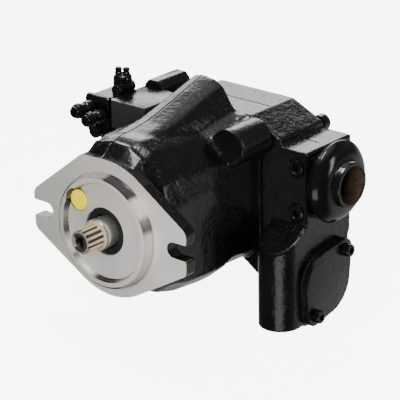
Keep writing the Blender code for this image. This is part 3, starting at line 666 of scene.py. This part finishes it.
def build_shaft():
    """The splined shaft end, its collar and the journal behind."""
    profile = [
        (0, 31), (9.4, 31), (9.4, 17.6), (9.8, 16.9), (12.4, 16.9), (13.4, 16.4), (14.0, 15.4),
        (14.0, -5.5), (13.0, -5.5), (12.0, -7.5), (12.0, -108), (13.0, -109), (13.0, -133), (10.0, -134),
        (10.0, -163), (9.0, -164), (0, -164),
    ]
    body = turned(profile, CENTRE, FORWARD, 72, 25)
    outline = []
    for i in range(TEETH):
        for share, radius in TOOTH:
            angle = math.tau * (i + share) / TEETH
            outline.append((radius * math.cos(angle), radius * math.sin(angle)))
    spline = prism(outline, -36.5, -15.5, "Y")
    chamfer = [(0, 38), (8.4, 38), (8.6, 36.45), (9.4, 36.4), (11.3, 34.4), (11.3, 15), (0, 15)]
    spline = boolean(spline, turned(chamfer, CENTRE, FORWARD, 72, 0), "INTERSECT")
    mesh = boolean(body, spline, "UNION")
    centre_hole = [(0, 45), (4.2, 45), (4.2, 36.5), (3.6, 35.7), (2.6, 30), (0, 28)]
    mesh = keep_sharp(boolean(mesh, turned(centre_hole, CENTRE, FORWARD, 40, 0)), 28)
    mesh.materials.clear()
    piece("splined_shaft", mesh, body_of("drive_shaft"), "steel", STEEL, GOLDEN, SHAFT_END, PAINTED_SHADE_STEEL,
          replaced=("drive_shaft",))
    paint_faces(mesh, 1, lambda p, n: p.y < -15.9 * MM and off_axis(p) > 10.3 * MM)
    # Painted shade: the roots between the spline's teeth are near-black, standing in for the shade between
    # the teeth.
    paint_faces(mesh, 3, lambda p, n: -34.4 * MM < p.y < -17.2 * MM and off_axis(p) < 10.3 * MM)
    paint_faces(mesh, 2, lambda p, n: p.y < -34.3 * MM and n.y < -0.5)
    # Painted shade: the centre hole is near-black, standing in for the shade inside it.
    paint_faces(mesh, 3, lambda p, n: p.y < -27 * MM and off_axis(p) < 4.15 * MM)


def build_transport_plug():
    """The yellow plug with its screwdriver slot."""
    profile = [
        (0, 7.0), (4.0, 7.05), (7.4, 6.9), (8.7, 6.6), (9.3, 6.0), (9.5, 5.1), (9.4, 4.4), (9.0, 4.1),
        (8.2, 4.0), (8.0, 0.8), (7.6, 0.4), (0, 0.4),
    ]
    mesh = turned(profile, PLUG, FORWARD, 72, 40)
    slot_mesh = prism(((-4.2, -0.9), (4.2, -0.9), (4.2, 0.9), (-4.2, 0.9)), -12.0, -5.4, "Y")
    slot_mesh.transform(Matrix.Translation(Vector(PLUG) * MM) @ Matrix.Rotation(math.radians(-35), 4, "Y"))
    mesh = keep_sharp(boolean(mesh, slot_mesh), 40)
    mesh.materials.clear()
    body = body_of("transport_plug")
    piece("yellow_plug", mesh, body, "yellow_plastic", YELLOW, replaced=("transport_plug",))


def build_screw_plug(node, x, z):
    """A socket plug in the side block's front, with a ridge round its socket."""
    profile = [
        (0, 0.4), (4.9, 0.4), (5.6, 1.3), (6.5, 1.4), (7.3, 0.9), (8.0, 0.1), (8.0, -7.9), (0, -7.9),
    ]
    mesh = turned(profile, (x, SCREW_PLUG_Y, z), FORWARD, 56, 25)
    pocket = hex_pocket(7.2, (x, SCREW_PLUG_Y, z), FORWARD, 4.0)
    mesh = keep_sharp(boolean(mesh, pocket), 25)
    mesh.materials.clear()
    piece(f"{node}_fine", mesh, body_of(node), "black_paint", CAST, replaced=(node,))


def build_bolt(node, seat, direction, radius, height, socket, shank_radius, shank, look):
    """A socket-head screw with a rounded head."""
    profile = [
        (0, height), (radius - 1.3, height), (radius - 0.5, height - 0.3), (radius, height - 1.1),
        (radius, 0.35), (radius - 0.4, 0.0), (shank_radius, 0.0), (shank_radius, -shank), (0, -shank),
    ]
    mesh = turned(profile, seat, direction, 48, 30)
    top = Vector(seat) + Vector(direction) * height
    mesh = keep_sharp(boolean(mesh, hex_pocket(socket, top, direction, height * 0.55)), 30)
    mesh.materials.clear()
    piece(f"{node}_fine", mesh, body_of(node), "black_paint", look, replaced=(node,))


COVER_DISCS = ((*COVER_CENTRE, 31.5), *((y, z, 10.0) for y, z in COVER_BOLTS))


def build_cover():
    """The blanking cover with rounded edges and bolt holes, its gasket and its bolts."""
    gasket = prism(disc_outline([(y, z, r - 0.6) for y, z, r in COVER_DISCS], 150), 105.3, 106.5, "X")
    cover = prism(disc_outline(COVER_DISCS, 150), 106.8, 113.0, "X", 0.9)
    for name, mesh, slot_name, look, node in (
        ("gasket_sheet", gasket, "seal_rubber", RUBBER, "cover_gasket"),
        ("cover_plate", cover, "black_paint", CAST, "blanking_cover"),
    ):
        for y, z in COVER_BOLTS:
            hole = turned([(0, 5), (4.3, 5), (4.3, -12), (0, -12)], (110.0, y, z), SIDEWAYS, 32)
            mesh = boolean(mesh, hole)
        keep_sharp(mesh, 18)
        mesh.materials.clear()
        piece(name, mesh, body_of(node), slot_name, look, replaced=(node,))
    for i, (y, z) in enumerate(COVER_BOLTS, 1):
        build_bolt(f"cover_bolt_{i}", (113.3, y, z), SIDEWAYS, 6.0, 6.4, 5.6, 4.0, 19.0, PAINT)


def build_valve_castings():
    """The control valve's three castings: the end block, the body and the rear block."""
    end = soften(to_mesh(node_bmesh("valve_end_block"), "end_rough", 0), 0.6 * MM, 4)
    bar = turned(
        [(0, 0), (3.4, 0), (4.3, 0.6), (4.7, 1.6), (4.7, 25.5), (3.8, 27.0), (0, 27.2)],
        (-96.4, 82.0, 77.4), SIDEWAYS, 56, 30)
    bump_mesh = turned(
        [(0, 0), (5.0, 0), (6.2, 0.8), (6.4, 2.4), (5.9, 3.2), (6.4, 4.0), (6.4, 5.6), (5.9, 6.4), (6.4, 7.2),
         (6.4, 14.0), (0, 14.0)], (-84.5, 74.5, 49.0), BACKWARD, 48, 30)
    collar = turned(
        [(0, 0), (8.0, 0), (8.7, 0.7), (8.7, 3.6), (7.9, 4.8), (0, 4.9)], (*LIMIT_SCREW, 85.0), UPWARD,
        56, 30)
    end = merged(end, bar, bump_mesh, collar)
    piece("valve_end_casting", end, CASE, "black_paint", CAST, replaced=("valve_end_block",))
    body = prism(
        ((-70.0, 83.4), (-67.0, 80.0), (-27.8, 80.0), (-27.8, 130.0), (-70.0, 130.0)), 55.2, 81.0, "Z", 0.7)
    piece("valve_body_casting", body, CASE, "black_paint", SATIN, CAST, replaced=("valve_body",))
    paint_faces(body, 1, lambda p, n: n.z > 0.8)
    rear = prism(
        ((-72, 64), (-57, 64), (-51, 75), (-51, 82), (-56, 87), (-67, 87), (-72, 82)), 130.3, 170, "Y", 1.5)
    piece("control_rear_casting", rear, CASE, "black_paint", CAST, replaced=("control_rear_block",))


def build_adjuster(i, x, z):
    """One spool's adjuster: a round locking collar and a screw with a hexagon socket."""
    nut = turned(
        [(3.3, 17.35), (6.2, 17.35), (7.0, 18.0), (7.0, 19.6), (6.3, 20.3), (6.6, 20.9), (6.6, 22.2),
         (5.6, 23.4), (3.3, 23.5)], (x, VALVE_FRONT_Y, z), FORWARD, 48, 30)
    node = f"lock_nut_{i}"
    piece(f"{node}_fine", nut, body_of(node), "black_paint", CAST, replaced=(node,))
    height = 25.9
    screw = turned(
        [(0, height), (4.2, height), (5.0, 25.5), (5.3, 24.7), (5.3, 23.9), (3.0, 23.7), (3.0, -4.6),
         (4.4, -4.6), (4.4, -7), (0, -7)], (x, VALVE_FRONT_Y, z), FORWARD, 48, 30)
    socket = hex_pocket(3.4, (x, VALVE_FRONT_Y - height, z), FORWARD, 2.6)
    screw = keep_sharp(boolean(screw, socket), 30)
    screw.materials.clear()
    node = f"adjusting_screw_{i}"
    piece(f"{node}_fine", screw, body_of(node), "black_paint", PAINT, replaced=(node,))


def build_limit_screw():
    """The limit screw's domed head with two small studs on it."""
    head = turned(
        [(0, 7.4), (4.6, 7.3), (6.8, 6.4), (8.0, 5.0), (8.5, 3.4), (8.0, 2.7), (8.0, 2.0), (8.7, 1.6),
         (8.7, 0.8), (8.0, 0.3), (0, 0.3)], (*LIMIT_SCREW, 90.0), UPWARD, 48, 30)
    stud = [(0, 0), (3.4, 0), (3.4, 1.6), (2.6, 2.2), (3.1, 3.4), (3.1, 5.2), (2.2, 6.3), (0, 6.6)]
    studs = [turned(stud, (x, y, 96.9), UPWARD, 32, 40) for x, y in ((-79.4, 104.4), (-73.0, 107.6))]
    mesh = merged(head, *studs)
    piece("limit_screw_fine", mesh, body_of("limit_screw"), "black_paint", PAINT, replaced=("limit_screw",))


def build_valve_springs():
    """The spools' return springs, each on its own copy of the CAD mesh; in the pump they shorten as their
    spools move.
    """
    for i, (x, z) in enumerate(ADJUSTERS, 1):
        node = f"valve_spring_{i}"
        mesh = NODES[node].data.copy()
        mesh.materials.clear()
        coil = piece(f"{node}_coil", mesh, body_of(node), "spring_steel", SPRING, replaced=(node,))
        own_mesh(coil)


def surface_tree(name):
    """A search tree over a piece's surface, for casting rays at it."""
    bm = bmesh.new()
    bm.from_mesh(bpy.data.objects[name].data)
    tree = BVHTree.FromBMesh(bm)
    bm.free()
    return tree


def bead(points, radius, sides=8):
    """A closed tube through points (metres), half sunk in the surface it follows."""
    bm = bmesh.new()
    rings = []
    for i, point in enumerate(points):
        ahead = points[min(i + 1, len(points) - 1)] - points[max(i - 1, 0)]
        turn = ahead.to_track_quat("Z", "Y")
        ring = [
            bm.verts.new(point + turn @ Vector((radius * math.cos(a), radius * math.sin(a), 0)))
            for a in (math.tau * k / sides for k in range(sides))
        ]
        rings.append(ring)
    for a, b in zip(rings, rings[1:]):
        for k in range(sides):
            bm.faces.new((a[k], a[(k + 1) % sides], b[(k + 1) % sides], b[k]))
    bm.faces.new(rings[0])
    bm.faces.new(rings[-1])
    bmesh.ops.recalc_face_normals(bm, faces=bm.faces)
    return to_mesh(bm, "bead", 40)


def traced(tree, starts, direction):
    """Where rays from the starts (mm) hit the surface."""
    hits = [tree.ray_cast(Vector(s) * MM, Vector(direction)) for s in starts]
    return [hit[0] for hit in hits if hit[0] is not None]


PARTING_X = -7.0
REAR_RIM_Y = 138.6
PLATE_LINE_Y = 170.0


def plate_section(plate, y, count=60):
    """Points round the port plate's outside at one Y, from the right side over the top to the left."""
    points = []
    for i in range(count):
        angle = math.radians(-25 + 190 * i / (count - 1))
        start = Vector((20 + 160 * math.cos(angle), y, 20 + 160 * math.sin(angle))) * MM
        points.append(plate.ray_cast(start, Vector((-math.cos(angle), 0, -math.sin(angle))))[0])
    return [p for p in points if p is not None]


def build_mould_lines():
    """Thin mould and joint lines on the castings, and the rim of the drain boss."""
    body = surface_tree("housing_casting")
    plate = surface_tree("port_plate_casting")
    above = [(PARTING_X - 0.02 * (y - 14), y, 150) for y in range(15, 139, 2)]
    crest = traced(body, above, (0, 0, -1))
    facet = traced(body, [(PARTING_X, -40, z) for z in range(63, 76, 2)], BACKWARD)
    front = facet + [p for p in crest if not facet or p.y > facet[-1].y]
    rim = traced(body, [(200, REAR_RIM_Y, z) for z in range(56, -54, -3)], (-1, 0, 0))
    section = plate_section(plate, PLATE_LINE_Y)
    lines = [bead(front, 0.45 * MM), bead(rim, 0.9 * MM), bead(section, 0.4 * MM)]
    drain_rim = turned(
        [(15.0, -1.5), (15.0, 0.4), (15.5, 0.9), (16.4, 0.9), (17.0, 0.3), (17.1, -1.5)], DRAIN_BOSS,
        FORWARD, 80, 40)
    piece("mould_lines", merged(*lines, drain_rim), CASE, "black_paint", CAST)


build_housing()
build_pilot()
build_port_plate()
build_suction_fitting()
build_shaft()
build_transport_plug()
for number, (plug_x, plug_z) in enumerate(SCREW_PLUGS, 1):
    build_screw_plug(f"screw_plug_{number}", plug_x, plug_z)
build_cover()
for number, (bolt_x, bolt_z) in enumerate(PLATE_BOLTS, 1):
    bolt_seat = (bolt_x, REAR_Y, bolt_z)
    build_bolt(f"plate_bolt_{number}", bolt_seat, BACKWARD, 8.0, 9.0, 7.0, 4.6, 20.0, CAST)
build_valve_castings()
for number, (screw_x, screw_z) in enumerate(ADJUSTERS, 1):
    build_adjuster(number, screw_x, screw_z)
build_limit_screw()
build_valve_springs()
build_mould_lines()

# The CAD nodes that still show keep their meshes and get the finer materials
for name, node in NODES.items():
    if node.hide_render:
        continue
    slot_name = next(s.get("material_slot") for s in frame["record"]["subparts"] if s["node"] == name)
    for material_slot in node.material_slots:
        material_slot.material = SLOT_LOOKS[slot_name]


# Studio -----------------------------------------------------------------------------------------

PAPER_WHITE = 7.0
FLOOR_GLOW = PAPER_WHITE - 0.3
FLOOR_Z = CAD_BOX[0][2] - 0.001
AMBIENT = 0.05


def build_floor():
    """A plain pale floor that glows and that only the camera sees.

    It neither lights the pump, nor mirrors in it, nor takes its shadow.
    """
    mesh = bpy.data.meshes.new("floor")
    size = 6.0
    mesh.from_pydata(
        [(-size, -size, 0), (size, -size, 0), (size, size, 0), (-size, size, 0)], [], [(0, 1, 2, 3)]
    )
    floor = bpy.data.objects.new("studio_floor", mesh)
    floor.location.z = FLOOR_Z
    bpy.context.scene.collection.objects.link(floor)
    mat, shader = new_material("floor_white", (0.9, 0.9, 0.9), 0.0, 0.9)
    shader.inputs["Emission Color"].default_value = (1, 1, 1, 1)
    shader.inputs["Emission Strength"].default_value = FLOOR_GLOW
    colors = ramp(mat, noise(mat, 2, 1).outputs["Fac"], (0.89, 0.89, 0.89), (0.91, 0.91, 0.91))
    mat.node_tree.links.new(colors.outputs["Color"], shader.inputs["Base Color"])
    mesh.materials.append(mat)
    floor.visible_glossy = False
    floor.visible_diffuse = False
    floor.visible_shadow = False


def area_light(name, place, aim, size, power, glossy=True):
    """A rectangular white light; without glossy, it doesn't mirror in the pump."""
    data = bpy.data.lights.new(name, "AREA")
    data.shape = "RECTANGLE"
    data.size, data.size_y = size
    data.energy = power
    light = bpy.data.objects.new(name, data)
    light.location = place
    light.rotation_euler = (Vector(aim) - Vector(place)).to_track_quat("-Z", "Y").to_euler()
    light.visible_glossy = glossy
    bpy.context.scene.collection.objects.link(light)


def build_world():
    """White for the camera; for everything else bright at the upper rear left and overhead, dim in front."""
    world = bpy.data.worlds.new("studio")
    bpy.context.scene.world = world
    world.use_nodes = True
    tree = world.node_tree
    tree.nodes.clear()
    out = tree.nodes.new("ShaderNodeOutputWorld")
    mix = tree.nodes.new("ShaderNodeMixShader")
    path = tree.nodes.new("ShaderNodeLightPath")
    white = tree.nodes.new("ShaderNodeBackground")
    white.inputs["Color"].default_value = (1, 1, 1, 1)
    white.inputs["Strength"].default_value = PAPER_WHITE
    studio = tree.nodes.new("ShaderNodeBackground")
    coords = tree.nodes.new("ShaderNodeTexCoord")
    split = tree.nodes.new("ShaderNodeSeparateXYZ")

    def band(axis, start, end, low, high):
        node = tree.nodes.new("ShaderNodeMapRange")
        node.interpolation_type = "SMOOTHSTEP"
        for key, value in (("From Min", start), ("From Max", end), ("To Min", low), ("To Max", high)):
            node.inputs[key].default_value = value
        tree.links.new(split.outputs[axis], node.inputs["Value"])
        return node

    def combine(operation, first, second):
        node = tree.nodes.new("ShaderNodeMath")
        node.operation = operation
        tree.links.new(first, node.inputs[0])
        if isinstance(second, float):
            node.inputs[1].default_value = second
        else:
            tree.links.new(second, node.inputs[1])
        return node.outputs[0]

    tree.links.new(coords.outputs["Generated"], split.inputs["Vector"])
    rear = band("Y", 0.1, 0.6, 0.0, 1.0)
    left = band("X", -0.15, -0.45, 0.06, 5.5)
    upper = band("Z", 0.12, 0.36, 0.0, 1.0)
    ceiling = band("Z", 0.5, 0.72, 1.0, 0.25)
    lower = band("Z", -0.22, 0.1, 0.62, 0.06)
    zenith = band("Z", 0.75, 0.95, 0.0, 1.0)
    level = combine("MULTIPLY", left.outputs["Result"], upper.outputs["Result"])
    level = combine("MULTIPLY", level, ceiling.outputs["Result"])
    level = combine("ADD", level, lower.outputs["Result"])
    level = combine("MULTIPLY", level, rear.outputs["Result"])
    level = combine("ADD", level, zenith.outputs["Result"])
    level = combine("ADD", level, AMBIENT)
    tree.links.new(level, studio.inputs["Strength"])
    tree.links.new(path.outputs["Is Camera Ray"], mix.inputs["Fac"])
    tree.links.new(studio.outputs["Background"], mix.inputs[1])
    tree.links.new(white.outputs["Background"], mix.inputs[2])
    tree.links.new(mix.outputs["Shader"], out.inputs["Surface"])


def build_camera():
    """The camera of the reference view, as azimuth, elevation, roll and distance round a target."""
    azimuth, elevation, roll = (math.radians(a) for a in (40.525, 21.696, -0.957))
    target = Vector((0.10309, 0.0, 0.05261))
    distance = 1.79658
    back = Vector((
        math.sin(azimuth) * math.cos(elevation), -math.cos(azimuth) * math.cos(elevation),
        math.sin(elevation),
    ))
    right = Vector((math.cos(azimuth), math.sin(azimuth), 0))
    up = back.cross(right)
    turned_right = math.cos(roll) * right + math.sin(roll) * up
    turned_up = math.cos(roll) * up - math.sin(roll) * right
    data = bpy.data.cameras.new("camera")
    data.sensor_width = 36
    data.lens = 197.83
    camera = bpy.data.objects.new("camera", data)
    basis = Matrix((turned_right, turned_up, back)).transposed().to_4x4()
    camera.matrix_world = Matrix.Translation(target + back * distance) @ basis
    bpy.context.scene.collection.objects.link(camera)
    bpy.context.scene.camera = camera


build_floor()
build_world()
area_light("overhead", (0.08, -0.05, 1.3), (0.05, 0.08, 0), (0.25, 0.5), 7)
area_light("rear_left", (-1.1, 1.3, 0.95), (0, 0.1, 0), (1.0, 0.5), 1.0)
area_light("front_fill", (0.5, -1.8, 0.5), (0, 0, 0), (1.6, 1.2), 66, glossy=False)
area_light("right_side", (1.5, 0.5, 0.5), (0, 0.1, 0), (0.3, 0.9), 4)
area_light("front_strip", (1.0, -1.4, -0.8), (0.08, 0.13, -0.06), (1.3, 0.8), 6)
build_camera()
